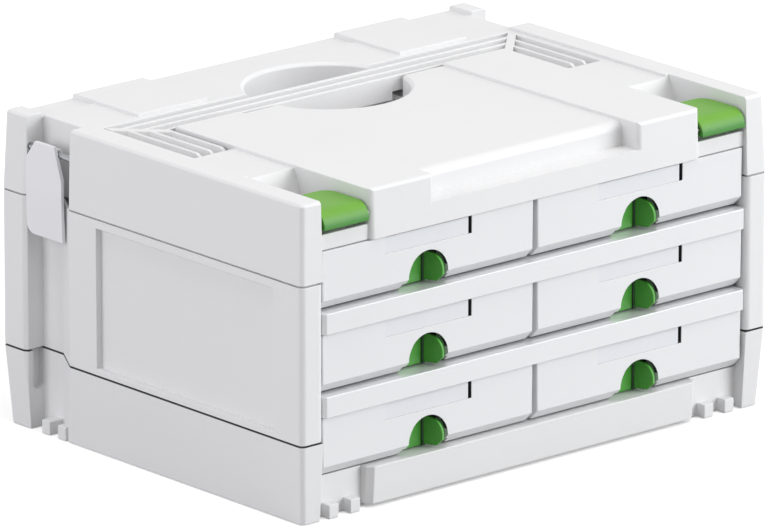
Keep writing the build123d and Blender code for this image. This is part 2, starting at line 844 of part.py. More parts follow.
groove_middle = (drawer_front + front_thickness + drawer_rear) / 2
groove_rows = [
    groove_middle + (place - (divider_groove_count - 1) / 2) * divider_groove_pitch
    for place in range(divider_groove_count)
]
inside_floor = drawer_base + drawer_floor
groove_width = divider_thickness + 2 * divider_clearance
with BuildPart() as drawer:
    with BuildSketch(Plane.XZ.offset(-drawer_front)):
        Polygon(*drawer_section(0, drawer_base, drawer_top), align=None)
    extrude(amount=-drawer_depth)
    bottom_front = drawer.edges().filter_by(Axis.X).group_by(Axis.Z)[0].sort_by(Axis.Y)[0]
    chamfer(bottom_front, front_chamfer)
    front_sides = drawer.faces().sort_by(Axis.Y)[0].edges().filter_by(Axis.X, reverse=True)
    fillet(front_sides, front_edge_radius)
    cut_box(
        (-drawer_width, drawer_front + front_thickness, drawer_rim),
        (drawer_width, drawer_rear + overcut, drawer_top + overcut),
    )
    with BuildSketch(Plane.XZ.offset(-drawer_front - front_thickness)):
        Polygon(*drawer_section(drawer_wall, inside_floor, drawer_rim), align=None)
    extrude(amount=front_thickness + drawer_wall - drawer_depth, mode=Mode.SUBTRACT)
    for row in groove_rows:
        with BuildSketch(Plane.XZ.offset(groove_width / 2 - row)):
            groove_inset = drawer_wall - divider_groove_depth
            Polygon(*drawer_section(groove_inset, inside_floor, drawer_rim), align=None)
        extrude(amount=-groove_width, mode=Mode.SUBTRACT)
    cut_box(
        (-label_width / 2, drawer_front, label_base),
        (label_width / 2, drawer_front + label_depth, drawer_top),
    )
    with BuildSketch(Plane.XZ.offset(-drawer_front)):
        with Locations((0, arch_centre)):
            Circle(arch_radius)
            Rectangle(2 * arch_radius, arch_radius, align=(Align.CENTER, Align.MAX))
    extrude(amount=-front_chamfer, mode=Mode.SUBTRACT)
    cut_box(
        (-lever_cavity_half, drawer_front + arch_skin, 0),
        (lever_cavity_half, drawer_front + lever_cavity_depth, lever_cavity_top),
    )
    cut_box(
        (label_width / 2 - card_end_gap, drawer_front, label_base),
        (label_width / 2, drawer_front + label_slot_depth, drawer_top),
    )
    cut_box(
        (
            label_width / 2 - label_hollow_width,
            drawer_front + label_depth + label_wall,
            label_base + label_hollow_rim,
        ),
        (
            label_width / 2,
            drawer_front + label_slot_depth,
            drawer_top - label_hollow_rim,
        ),
    )
    with Locations((lever_pivot_offset, lever_y, lever_cavity_top)):
        Cylinder(
            lever_stub_radius + hinge_clearance,
            lever_stub_length + lever_clearance,
            align=(Align.CENTER, Align.CENTER, Align.MIN),
            mode=Mode.SUBTRACT,
        )
    both_sides(
        add_box,
        ((runner_spread - runner_width) / 2, drawer_front + runner_setback, runner_gap),
        ((runner_spread + runner_width) / 2, drawer_rear, drawer_base + drawer_floor),
    )

# Finger lever: a back plate and a rounded fin on one upright hub, seen through the arch
lever_base = drawer_base
lever_top = lever_cavity_top - lever_clearance
fin_turn = math.radians(lever_fin_angle)
fin_plane = Plane(
    origin=(lever_pivot_offset, lever_y, 0),
    x_dir=(math.sin(fin_turn), -math.cos(fin_turn), 0),
    z_dir=(-math.cos(fin_turn), -math.sin(fin_turn), 0),
)
with BuildPart() as finger_lever:
    add_box(
        (-lever_wall_left, lever_y, lever_base),
        (lever_pivot_offset, lever_y + lever_wall_thickness, lever_top),
    )
    add_box(
        (lever_pivot_offset - lever_hub_half, lever_y - lever_fin_thickness / 2, lever_base),
        (lever_pivot_offset + lever_hub_half, lever_y + lever_hub_half, lever_top),
    )
    with BuildSketch(fin_plane):
        with BuildLine():
            under = Polyline(
                (0, lever_fin_top),
                (0, lever_fin_base),
                (lever_fin_reach - lever_fin_cut, lever_fin_base),
                (lever_fin_reach, lever_fin_base + lever_fin_cut),
                (lever_fin_reach, lever_fin_shoulder),
            )
            crown = lever_fin_top - lever_fin_shoulder
            over = TangentArc(under @ 1, (lever_fin_reach - crown, lever_fin_top), tangent=(0, 1))
            Line(over @ 1, under @ 0)
        make_face()
    extrude(amount=lever_fin_thickness / 2, both=True)
    with Locations((lever_pivot_offset, lever_y, lever_top)):
        Cylinder(
            lever_stub_radius,
            lever_clearance + lever_stub_length,
            align=(Align.CENTER, Align.CENTER, Align.MIN),
        )

# Label card in the recess of the drawer front
with BuildPart() as label_card:
    add_box(
        (card_clearance - label_width / 2, drawer_front + label_depth - card_thickness, label_base),
        (label_width / 2 - card_end_gap, drawer_front + label_depth, drawer_top - card_top_gap),
    )

# Two cross dividers in the second and fourth pair of grooves
with BuildPart() as dividers:
    for row in groove_rows[1::2]:
        with BuildSketch(Plane.XZ.offset(divider_thickness / 2 - row)):
            slot_inset = drawer_wall - divider_groove_depth + divider_clearance
            divider_top = inside_floor + divider_height
            Polygon(*drawer_section(slot_inset, inside_floor, divider_top), align=None)
        extrude(amount=-divider_thickness)

for row_name, floor in zip(("bottom", "middle", "top"), row_floors):
    for column_name, side in (("left", -1), ("right", 1)):
        place = Location((side * column_centre, 0, floor))
        save(drawer.part.moved(place), f"drawer_{row_name}_{column_name}")
        save(finger_lever.part.moved(place), f"finger_lever_{row_name}_{column_name}")
        save(label_card.part.moved(place), f"label_card_{row_name}_{column_name}")
        save(dividers.part.moved(place), f"dividers_{row_name}_{column_name}")
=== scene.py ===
# %% [markdown]
# # A drawer organizer case
# This lesson dresses a stackable case with six small drawers. The solids come packed from CAD, in metres,
# with +Z up and the drawer fronts facing -Y, and every finished piece rides on one of their moving bodies.
# We load them first, and a helper gives the box around any one of them. Nothing that we add may make the
# case larger.

import json
import math

import bmesh
import bpy
import numpy as np
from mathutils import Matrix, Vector
from mathutils.bvhtree import BVHTree


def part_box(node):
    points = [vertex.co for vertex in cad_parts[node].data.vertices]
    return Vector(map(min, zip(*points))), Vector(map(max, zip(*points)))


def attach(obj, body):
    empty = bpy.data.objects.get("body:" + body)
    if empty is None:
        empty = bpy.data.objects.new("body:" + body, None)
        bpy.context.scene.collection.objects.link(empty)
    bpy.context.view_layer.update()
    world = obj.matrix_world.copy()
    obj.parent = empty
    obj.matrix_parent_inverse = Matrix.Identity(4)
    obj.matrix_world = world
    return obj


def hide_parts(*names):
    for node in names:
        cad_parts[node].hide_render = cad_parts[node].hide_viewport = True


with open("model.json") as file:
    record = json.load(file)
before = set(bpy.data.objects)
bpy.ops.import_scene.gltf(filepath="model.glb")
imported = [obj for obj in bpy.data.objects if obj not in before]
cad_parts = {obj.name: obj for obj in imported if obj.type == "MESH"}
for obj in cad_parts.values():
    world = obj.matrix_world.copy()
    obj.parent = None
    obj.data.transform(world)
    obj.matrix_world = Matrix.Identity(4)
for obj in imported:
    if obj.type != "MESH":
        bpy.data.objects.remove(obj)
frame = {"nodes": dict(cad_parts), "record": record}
nodes = frame["nodes"]
body_nodes = frame["record"]["behaviour"]["bodies"]
node_body = {node: body for body, members in body_nodes.items() for node in members}
node_slot = {row["node"]: row["material_slot"] for row in frame["record"]["subparts"]}
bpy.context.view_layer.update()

# %% [markdown]
# The camera stands far away with a long lens, as a catalogue photographer does, so that the edges of the
# case stay almost parallel. Its angles, distance and lens were fitted to the corners of the case in the
# photograph. The small shift stands for the crop of the picture. Two helpers come first, because the lamps
# will need them too.

# %% Camera
photo_azimuth = math.radians(41.05)
photo_elevation = math.radians(16.73)
photo_distance = 7.4108
photo_target = Vector((0, 0, 0.105))
photo_focus_px = 11499.2
photo_width_px = 768
photo_height_px = 528
photo_axis_px = (385.27, 257.29)
sensor_mm = 36.0


def in_scene(name, data):
    """A new object in the scene that shows this data."""
    made = bpy.data.objects.new(name, data)
    bpy.context.scene.collection.objects.link(made)
    return made


def point_along(thing, way):
    """Turn a camera or a lamp to look along a direction, upright."""
    thing.rotation_mode = "QUATERNION"
    thing.rotation_quaternion = way.to_track_quat("-Z", "Y")


camera_data = bpy.data.cameras.new("photo_camera")
camera_data.sensor_width = sensor_mm
camera_data.lens = photo_focus_px / photo_width_px * sensor_mm
camera_data.shift_x = (photo_width_px / 2 - photo_axis_px[0]) / photo_width_px
camera_data.shift_y = (photo_axis_px[1] - photo_height_px / 2) / photo_width_px
camera_data.clip_start = 0.1
camera_data.clip_end = 100.0
camera = in_scene("photo_camera", camera_data)
towards_camera = Vector((
    -math.sin(photo_azimuth) * math.cos(photo_elevation),
    -math.cos(photo_azimuth) * math.cos(photo_elevation),
    math.sin(photo_elevation),
))
camera.location = photo_target + towards_camera * photo_distance
point_along(camera, -towards_camera)
bpy.context.scene.camera = camera
print("lens in mm:", round(camera_data.lens))

# %% [markdown]
# Materials are sums of patterns, and sums read best as sums. This class wraps a socket, so that adding or
# comparing two of them adds the Math node that does it. Every other node comes from `node`, which sets the
# node's own settings first and then its sockets, whether they get a number or a link.


# %% Shader arithmetic
class Wire:
    """A socket of a node tree that takes part in Python expressions."""

    def __init__(self, tree, socket):
        self.tree = tree
        self.socket = socket

    def node(self, kind, settings=None, sockets=None, output=0):
        """Add a node of this kind to the same tree and give one of its outputs."""
        made = self.tree.nodes.new(kind)
        for name, value in (settings or {}).items():
            setattr(made, name, value)
        for name, value in (sockets or {}).items():
            if isinstance(value, Wire):
                self.tree.links.new(value.socket, made.inputs[name])
            else:
                made.inputs[name].default_value = value
        return Wire(self.tree, made.outputs[output])

    def sum(self, operation, first, second):
        return self.node("ShaderNodeMath", {"operation": operation}, {0: first, 1: second})

    def __add__(self, other):
        return self.sum("ADD", self, other)

    def __radd__(self, other):
        return self.sum("ADD", other, self)

    def __sub__(self, other):
        return self.sum("SUBTRACT", self, other)

    def __rsub__(self, other):
        return self.sum("SUBTRACT", other, self)

    def __mul__(self, other):
        return self.sum("MULTIPLY", self, other)

    def __rmul__(self, other):
        return self.sum("MULTIPLY", other, self)

    def __lt__(self, other):
        return self.sum("LESS_THAN", self, other)

    def __gt__(self, other):
        return self.sum("GREATER_THAN", self, other)

    def __abs__(self):
        return self.node("ShaderNodeMath", {"operation": "ABSOLUTE"}, {0: self})


# %% [markdown]
# A few short functions save repetition in the materials. All patterns are read in Object coordinates. Every
# piece of the case sits at the origin with its place in its mesh, so these are metres in the frame of the
# case.


# %% Helpers for materials
def new_material(name):
    """An empty material: its shader node and a wire that carries Object coordinates in metres."""
    material = bpy.data.materials.new(name)
    material.use_nodes = True
    tree = material.node_tree
    shader = next(node for node in tree.nodes if node.type == "BSDF_PRINCIPLED")
    place = Wire(tree, None).node("ShaderNodeTexCoord", output="Object")
    return material, shader, place


def feed(shader, **wires):
    """Link wires to the sockets of a shader, which are named in lower case with underscores."""
    for name, wire in wires.items():
        wire.tree.links.new(wire.socket, shader.inputs[name.replace("_", " ").title()])


def coordinate(place, axis):
    return place.node("ShaderNodeSeparateXYZ", None, {"Vector": place}, axis)


def noise(place, scale, detail):
    return place.node("ShaderNodeTexNoise", None, {"Vector": place, "Scale": scale, "Detail": detail})


def fade(value, start, end):
    """A wire that falls from 1 to 0 as a value rises from start to end."""
    span = {"Value": value, "From Min": start, "From Max": end, "To Min": 1.0, "To Max": 0.0}
    return value.node("ShaderNodeMapRange", None, span)


def colour_mix(share, first, second):
    """A colour that goes from first to second as share goes from 0 to 1."""
    ends = {socket: colour if isinstance(colour, Wire) else (*colour, 1.0)
            for socket, colour in ((6, first), (7, second))}
    return share.node("ShaderNodeMix", {"data_type": "RGBA"}, {0: share, **ends}, output=2)


# %% [markdown]
# The shells are pale grey moulded plastic with a satin skin. The steel mould was spark-eroded, which leaves
# a fine grain of about a third of a millimetre. Broad, faint patches where the melt cooled at different
# speeds change the gloss more than the colour. A plastic may have a thin dark line at given heights, which
# is painted shade for the gap where two shells meet and for the gap under the front edge of a drawer. It may
# also darken towards its lower end, which is painted shade on the lip of the green latches. One function
# makes every plastic of the case.

# %% Moulded plastics
gap_shade_fade = 0.00025
# painted shade: the colour of the thin dark lines in the gaps between shells and under drawer fronts
gap_shade_colour = (0.05, 0.05, 0.048)
patch_scale = 14.0
speck_scale = 420.0


def gap_shade_lines(place, heights, half_width, depth):
    """A wire that is 1 near the given heights and in front of the given depth, and 0 elsewhere."""
    z = coordinate(place, "Z")
    lines = 0.0
    for height in heights:
        lines = fade(abs(z - height), half_width, half_width + gap_shade_fade) + lines
    return lines * (coordinate(place, "Y") < depth)


def moulded_plastic(
    name, colour, shade, roughness, grain_size, grain_depth, joints=None, low_shade=None, coat=0.0
):
    """A satin plastic: colour drifting towards shade in soft patches, over a fine moulded grain."""
    material, shader, place = new_material(name)
    patches = noise(place, patch_scale, 3.0)
    specks = noise(place, speck_scale, 2.0)
    grain = noise(place, 1 / grain_size, 2.0)
    tint = colour_mix(patches * 0.75 + specks * 0.25, colour, shade)
    # painted shade: the colour darkens towards the foot of the piece
    if low_shade:
        foot, top, low_shade_colour = low_shade
        tint = colour_mix(fade(coordinate(place, "Z"), foot, top), tint, low_shade_colour)
    # painted shade: thin dark lines in the gaps at the given heights
    if joints:
        tint = colour_mix(gap_shade_lines(place, *joints), tint, gap_shade_colour)
    gloss = roughness + (patches - 0.5) * 0.10 + (specks - 0.5) * 0.06
    skin = place.node("ShaderNodeBump", None, {"Strength": 0.25, "Distance": grain_depth, "Height": grain})
    feed(shader, base_color=tint, roughness=gloss, normal=skin)
    shader.inputs["IOR"].default_value = 1.48
    shader.inputs["Coat Weight"].default_value = coat
    shader.inputs["Coat Roughness"].default_value = 0.06
    return material


# %% [markdown]
# Now the plastics themselves. The heights of the dark gap lines, which are painted shade, are read from the
# solids. The shells and the drawers are two greys that hardly differ, the side flaps are a little lighter,
# and the shelves are polished, so that the green levers shine in them. Two very dark colours paint the shade
# in hollows that light doesn't reach, and the green of the latches is darkened towards its lip as painted
# shade.

# %% The plastics of the case
# heights of the painted shade lines where the shells meet
shell_tops = [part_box(node)[1].z for node in ("base_shell", "body_shell")]
shell_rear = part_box("body_shell")[1].y + 0.001
shell_line = 0.00024
case_plastic = moulded_plastic(
    "case_plastic", (0.785, 0.785, 0.785), (0.755, 0.755, 0.76), roughness=0.42, grain_size=0.00042,
    grain_depth=0.00012, joints=(shell_tops, shell_line, shell_rear),
)
runner_height = 0.0005
chamfer_height = 0.007
# painted shade lines under the front edge of each drawer, only in front of its chamfer
drawer_feet = [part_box(f"drawer_{row}_left")[0].z + runner_height for row in ("bottom", "middle", "top")]
drawer_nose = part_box("drawer_top_left")[0].y + chamfer_height + 0.0015
drawer_line = 0.0004
drawer_plastic = moulded_plastic(
    "drawer_plastic", (0.785, 0.79, 0.80), (0.76, 0.765, 0.775), roughness=0.40, grain_size=0.00036,
    grain_depth=0.00008, joints=(drawer_feet, drawer_line, drawer_nose),
)
flap_plastic = moulded_plastic(
    "flap_plastic", (0.81, 0.81, 0.825), (0.78, 0.78, 0.795), roughness=0.40, grain_size=0.00042,
    grain_depth=0.00010,
)
shelf_plastic = moulded_plastic(
    "shelf_plastic", (0.76, 0.77, 0.78), (0.735, 0.745, 0.755), roughness=0.16, grain_size=0.00042,
    grain_depth=0.00001, coat=1.0,
)
# near-black painted shade for the hollows of the drawer fronts
hollow_shade = moulded_plastic(
    "hollow_shade", (0.02, 0.02, 0.021), (0.012, 0.012, 0.013), roughness=0.6, grain_size=0.00036,
    grain_depth=0.00008,
)
green_plastic = moulded_plastic(
    "green_plastic", (0.075, 0.37, 0.035), (0.055, 0.33, 0.028), roughness=0.34, grain_size=0.00034,
    grain_depth=0.00006,
)
# very dark green, painted shade in the corner of each lever
corner_shade_green = moulded_plastic(
    "corner_shade_green", (0.006, 0.04, 0.008), (0.004, 0.03, 0.006), roughness=0.5, grain_size=0.00034,
    grain_depth=0.00006,
)
# painted shade: the latch green darkens towards its lip
latch_low, latch_high = [corner.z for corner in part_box("front_latch_left")]
lip_margin = 0.003
lip_shade_green = (0.035, 0.215, 0.014)
latch_plastic = moulded_plastic(
    "latch_plastic", (0.145, 0.375, 0.032), (0.12, 0.335, 0.026), roughness=0.46, grain_size=0.00034,
    grain_depth=0.00006, low_shade=(latch_low + lip_margin, latch_high - lip_margin, lip_shade_green),
)
print("plastics:", [material.name for material in bpy.data.materials if "plastic" in material.name])

# %% [markdown]
# The label strips are thin card with a faint blue cast. Paper has a felted surface of long fibres that
# mostly run one way, so a noise that is stretched along the strip makes the bump. The hinge pins are bright
# drawn steel with a fine mottle in its gloss.


# %% Card and steel
def paper_card(name, colour, shade):
    material, shader, place = new_material(name)
    along = place.node("ShaderNodeMapping", None, {"Vector": place, "Scale": (300.0, 2000.0, 2000.0)})
    fibres = noise(along, 1.0, 3.0)
    cloud = noise(place, 60.0, 2.0)
    felt = place.node("ShaderNodeBump", None, {"Strength": 0.2, "Distance": 0.00008, "Height": fibres})
    tint = colour_mix(fibres * 0.5 + cloud * 0.5, colour, shade)
    feed(shader, base_color=tint, roughness=0.62 + (fibres - 0.5) * 0.12, normal=felt)
    return material


def drawn_steel(name, colour, shade):
    material, shader, place = new_material(name)
    mottle = noise(place, 900.0, 4.0)
    shader.inputs["Metallic"].default_value = 1.0
    feed(shader, base_color=colour_mix(mottle, colour, shade), roughness=0.28 + (mottle - 0.5) * 0.2)
    return material


label_card = paper_card("label_card", (0.76, 0.772, 0.80), (0.735, 0.747, 0.775))
steel_pin = drawn_steel("steel_pin", (0.30, 0.31, 0.33), (0.42, 0.43, 0.45))
print("other finishes:", label_card.name, steel_pin.name)

# %% [markdown]
# CAD solids have razor edges, and real mouldings never do: each edge of a mould is broken by a few tenths
# of a millimetre, and the small round catches a line of light. A Bevel modifier can make those rounds, but
# it needs clean faces, and a CAD mesh is a heap of thin triangles. So we first join the triangles of each
# flat panel into one face. A Blender face can't have a hole, so a panel with one is cut along a line
# through the middle of the hole.

# %% Flat faces from loose triangles
flat_angle = math.radians(0.5)


def clusters(items, neighbours):
    """Split items into groups whose members reach each other through their neighbours."""
    left = dict.fromkeys(items)
    groups = []
    while left:
        seed = next(iter(left))
        del left[seed]
        group = [seed]
        for member in group:
            for other in neighbours(member):
                if other in left:
                    del left[other]
                    group.append(other)
        groups.append(group)
    return groups


def is_flat(edge):
    return len(edge.link_faces) == 2 and edge.calc_face_angle() < flat_angle


def cut_through(shape, panel, middle):
    """Cut a flat panel along a line through a point: its faces afterwards, and the edges of the cut."""
    normal = panel[0].normal
    across = Vector((1, 0, 0)) if abs(normal.x) < 0.9 else Vector((0, 1, 0))
    across = (across - normal * across.dot(normal)).normalized()
    parts = dict.fromkeys(panel)
    for face in panel:
        parts.update(dict.fromkeys(face.edges))
        parts.update(dict.fromkeys(face.verts))
    made = bmesh.ops.bisect_plane(shape, geom=list(parts), dist=1e-7, plane_co=middle, plane_no=across)
    faces = [part for part in made["geom"] if isinstance(part, bmesh.types.BMFace)]
    return faces, [part for part in made["geom_cut"] if isinstance(part, bmesh.types.BMEdge)]


def flat_faces(node):
    """A copy of a CAD node's mesh with each flat panel as one face, or as a few where it has holes."""
    shape = bmesh.new()
    shape.from_mesh(nodes[node].data)
    bmesh.ops.remove_doubles(shape, verts=shape.verts, dist=1e-6)
    panels = clusters(
        shape.faces[:], lambda face: [f for edge in face.edges if is_flat(edge) for f in edge.link_faces]
    )
    cuts = set()
    for panel in panels:
        inside = set(panel)
        border = [e for face in panel for e in face.edges if sum(f in inside for f in e.link_faces) == 1]
        loops = clusters(border, lambda edge: [e for v in edge.verts for e in v.link_edges])
        corners = [np.array([v.co[:] for e in loop for v in e.verts]) for loop in loops]
        corners.sort(key=lambda points: np.ptp(points, axis=0).max())
        for points in corners[:-1]:
            panel, made = cut_through(shape, panel, Vector((points.min(0) + points.max(0)) / 2))
            cuts.update(made)
    joins = [edge for edge in shape.edges if is_flat(edge) and edge not in cuts]
    bmesh.ops.dissolve_edges(shape, edges=joins, use_verts=True)
    return shape


print("a drawer's front and tray become", len(flat_faces("drawer_top_left").faces), "faces")

# %% [markdown]
# A round needs room: two of them side by side on a narrow rib would run into each other and fold the face
# between them. Here we look along each face for sharp edges that lie closer together than two widths, and
# leave those edges as they are. Inside corners stay sharp too, because on a moulding they hardly show.

# %% Edges with no room for a round
sharp_angle = math.radians(28)


def cramped_edges(shape, width):
    """Sharp edges that run beside another sharp edge of the same face, less than two widths away."""
    cramped = set()
    for face in shape.faces:
        edges = [edge for edge in face.edges if edge.calc_face_angle(0) > sharp_angle]
        starts = np.array([edge.verts[0].co[:] for edge in edges]).reshape(-1, 3)
        ways = np.array([edge.verts[1].co[:] for edge in edges]).reshape(-1, 3) - starts
        lengths = np.linalg.norm(ways, axis=1)
        for index, edge in enumerate(edges):
            for share in (0.0, 0.5, 1.0):
                point = starts[index] + share * ways[index]
                along = np.clip(((point - starts) * ways).sum(1) / lengths**2, 0, 1)
                gaps = starts + along[:, None] * ways - point
                away = np.linalg.norm(gaps, axis=1)
                for near in np.nonzero(away < 2 * width)[0]:
                    if set(edges[near].verts) & set(edge.verts):
                        continue
                    ahead = abs(gaps[near] @ ways[index]) / (lengths[index] * max(away[near], 1e-9))
                    side_by_side = abs(ways[near] @ ways[index]) / (lengths[near] * lengths[index])
                    if ahead < 0.5 and side_by_side > 0.5:
                        cramped.update((edge, edges[near]))
    return cramped


# %% [markdown]
# On the photograph the two columns of drawers stand closer together than on the solids: the sides of a
# drawer are almost upright, and the upright edges of its front are crisp. So the copy of a drawer is
# trimmed before it is rounded. Each side swings out at its foot, and the large round of each upright edge
# shrinks in proportion. The top of the drawer, which is its widest place, stays as it is.

# %% Upright sides for the drawers
solid_round = 0.0025
trimmed_round = 0.001
trimmed_draft = 0.0005
hair = 1e-5


def trim_sides(shape, node):
    """Stand the sides of a drawer's copy up and tighten the upright edges of its front."""
    low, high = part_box(node)
    middle = (low.x + high.x) / 2
    widest = (high.x - low.x) / 2
    foot = low.z + runner_height
    draft = widest - max(abs(v.co.x - middle) for v in shape.verts if abs(v.co.z - foot) < hair)
    shrink = trimmed_round / solid_round
    for vertex in shape.verts:
        x, y, z = vertex.co
        drop = (high.z - z) / (high.z - foot)
        inset = widest - draft * drop - abs(x - middle)
        behind = y - low.y
        if behind < solid_round + hair and inset < solid_round + hair:
            on_chamfer = abs(z - foot + behind - chamfer_height) < hair
            inset, behind = inset * shrink, behind * shrink
            if on_chamfer:
                z = foot + chamfer_height - behind
        elif inset > hair:
            continue
        reach = widest - trimmed_draft * (high.z - z) / (high.z - foot) - inset
        vertex.co = (middle + math.copysign(reach, x - middle), low.y + behind, z)
    shape.normal_update()


# %% [markdown]
# Now the rounds themselves. The modifier's width is scaled by a weight on each edge, 1 or 0. After each try
# we look for folded faces, which are those that face away from the plain surface beneath them, take the
# weight off the edges beside them and try again.


# %% Rounded copies of the solids
def folded_spots(mesh, surface, width):
    """Middles of the triangles that face away from the plain surface or stand off it."""
    mesh.calc_loop_triangles()
    spots = []
    for triangle in mesh.loop_triangles:
        if triangle.area > 1e-10:
            _, normal, _, distance = surface.find_nearest(triangle.center)
            if distance > 0.8 * width or triangle.normal.dot(normal) < 0.2:
                spots.append(triangle.center[:])
    return np.array(spots)


def with_rounds(name, mesh, width):
    """A plain mesh of what the Bevel modifier makes of a mesh, whose edges carry their weights."""
    piece = in_scene(name, mesh)
    bevel = piece.modifiers.new(name, "BEVEL")
    bevel.width = width
    bevel.segments = 3
    bevel.limit_method = "WEIGHT"
    bevel.use_clamp_overlap = False
    bevel.loop_slide = False
    made = bpy.data.meshes.new_from_object(piece.evaluated_get(bpy.context.evaluated_depsgraph_get()))
    bpy.data.objects.remove(piece)
    bpy.data.meshes.remove(mesh)
    return made


def bevelled_mesh(node, width, tries=6):
    """A mesh of a CAD node with its outer edges rounded, and the count of folds that are left."""
    shape = flat_faces(node)
    if node.startswith("drawer_"):
        trim_sides(shape, node)
    surface = BVHTree.FromBMesh(shape)
    cramped = cramped_edges(shape, width)
    weight = shape.edges.layers.float.new("bevel_weight_edge")
    outer = [edge for edge in shape.edges if edge.is_convex and edge.calc_face_angle(0) > sharp_angle]
    for edge in outer:
        edge[weight] = float(edge not in cramped)
    starts = np.array([edge.verts[0].co[:] for edge in outer])
    ways = np.array([edge.verts[1].co[:] for edge in outer]) - starts
    for attempt in range(tries):
        plain = bpy.data.meshes.new(node)
        shape.to_mesh(plain)
        mesh = with_rounds(node + "_trial", plain, width)
        spots = folded_spots(mesh, surface, width)
        if len(spots) == 0 or attempt == tries - 1:
            break
        bpy.data.meshes.remove(mesh)
        gaps = spots[:, None] - starts
        along = np.clip((gaps * ways).sum(2) / (ways**2).sum(1), 0, 1)
        away = np.linalg.norm(gaps - along[..., None] * ways, axis=2).min(0)
        for edge, distance in zip(outer, away):
            if distance < (1.2 + 0.4 * attempt) * width:
                edge[weight] = 0.0
    shape.free()
    return mesh, len(spots)


# %% [markdown]
# Smooth shading mixes the directions of neighbouring faces, and on a large panel that mix shows as a cloudy
# stain. So we set the directions ourselves. A panel keeps its own, all over. A narrow face beside a panel,
# such as a strip of a round, takes the panel's direction along the shared edge, and so the light runs over
# the round and stops on the panel.

# %% Shading that keeps panels flat
bend_angle = math.radians(35)
blend_angle = math.radians(50)


def on_a_bend(face):
    """Whether a face is one of several strips round a curve, rather than a panel."""
    for edge in face.edges:
        if flat_angle < edge.calc_face_angle(0) < bend_angle:
            others = [other for other in edge.link_faces if other is not face]
            if any(other.calc_area() > 0.25 * face.calc_area() for other in others):
                return True
    return False


def shade_panels_flat(mesh):
    """Set the direction at each corner of each face of a mesh."""
    shape = bmesh.new()
    shape.from_mesh(mesh)
    bends = [on_a_bend(face) for face in shape.faces]
    areas = [face.calc_area() for face in shape.faces]
    directions = []
    for face in shape.faces:
        for corner in face.loops:
            if not bends[face.index]:
                directions.append(face.normal[:])
                continue
            near = [f for f in corner.vert.link_faces if f.normal.dot(face.normal) > math.cos(blend_angle)]
            panels = [f for f in near if not bends[f.index]]
            way = sum((f.normal * areas[f.index] for f in panels or near), Vector())
            directions.append(way.normalized()[:] if way.length else face.normal[:])
    shape.free()
    mesh.shade_smooth()
    mesh.normals_split_custom_set(directions)


# %% [markdown]
# The label slot and the arch of the lever open into the hollow front of the drawer, where hardly any light
# gets in. The solids have shallow pockets there, which would shine white inside, so the inner faces of the
# pockets and the wall of the arch are coloured near-black as painted shade. The tight corner beside a
# lever's hub gets painted shade too, in a very dark green.

# %% Dark hollows
hollow_width = 0.0205
hollow_depth = 0.0155
slot_width = 0.0035
card_gap = 0.00005
slot_foot = 0.0005
arch_rim = 0.0006
lever_room = 0.004
hub_reach = (0.0184, 0.0205)
hub_front = 0.0021


def darken_hollows(mesh, tag):
    """Paint shade in near-black on the inner faces of a drawer front's label slot and lever pocket."""
    card_low, card_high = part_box("label_card_" + tag)
    lever_low, lever_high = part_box("finger_lever_" + tag)
    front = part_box("drawer_" + tag)[0].y
    mesh.materials.append(hollow_shade)
    for face in mesh.polygons:
        x, y, z = face.center
        in_slot = card_high.x - hollow_width < x < card_high.x + slot_width
        in_slot = in_slot and y > card_high.y + card_gap and z > card_low.z - slot_foot
        in_pocket = lever_low.x - lever_room < x < lever_high.x + lever_room
        in_pocket = in_pocket and y > front + arch_rim and z < lever_high.z + lever_room
        if y < front + hollow_depth and (in_slot or in_pocket):
            face.material_index = 1


def darken_corner(mesh, node):
    """Paint shade in the darkest green on the corner where a lever's fin leaves its plate."""
    low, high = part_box(node)
    mesh.materials.append(corner_shade_green)
    for face in mesh.polygons:
        if hub_reach[0] < face.center.x - low.x < hub_reach[1] and face.center.y < high.y - hub_front:
            face.material_index = 1


# %% [markdown]
# Each rounded copy rides on the body of its CAD node and stands for it. The label cards and the hinge pins
# need no rounds, so there the CAD node itself gets its finish.

# %% Dress the solids
finishes = {
    "case_plastic": case_plastic,
    "drawer_plastic": drawer_plastic,
    "green_plastic": green_plastic,
    "label_card": label_card,
    "steel_pin": steel_pin,
}
own_finish = dict.fromkeys(("side_latch_left", "side_latch_right"), flap_plastic)
own_finish.update(dict.fromkeys(("base_deck", "lower_shelf", "upper_shelf"), shelf_plastic))
own_finish.update(dict.fromkeys(("front_latch_left", "front_latch_right"), latch_plastic))
edge_round = {"case_plastic": 0.0006, "drawer_plastic": 0.0004, "green_plastic": 0.0004}


def rounded(node, slot):
    """Make a rounded copy that rides on a CAD node's body and stands for it, and count its folds."""
    mesh, folds = bevelled_mesh(node, edge_round[slot])
    shade_panels_flat(mesh)
    mesh.name = node + "_rounded"
    mesh.materials.clear()
    mesh.materials.append(own_finish.get(node, finishes[slot]))
    if node.startswith("drawer_"):
        darken_hollows(mesh, node.removeprefix("drawer_"))
    if node.startswith("finger_lever_"):
        darken_corner(mesh, node)
    piece = in_scene(node + "_rounded", mesh)
    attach(piece, node_body[node])
    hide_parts(node)
    return folds


folds_left = {}
for node, slot in node_slot.items():
    if slot in edge_round:
        folds_left[node] = rounded(node, slot)
    else:
        nodes[node].data.materials.clear()
        nodes[node].data.materials.append(finishes[slot])
folded = {node: folds for node, folds in folds_left.items() if folds}
print("rounded pieces:", len(folds_left), "with folds:", folded)

# %% [markdown]
# Inside a drawer, pairs of small half-round ribs stand beside each groove and steer a divider into it. The
# ribs are all alike and sit at an even pitch, and that is work for Geometry Nodes: one cylinder, set on a
# line of two points for the pair, the pair set on a line of points for the grooves, and the row turned
# about for the other wall. The same Wire class builds this tree, because its Math nodes work here too.


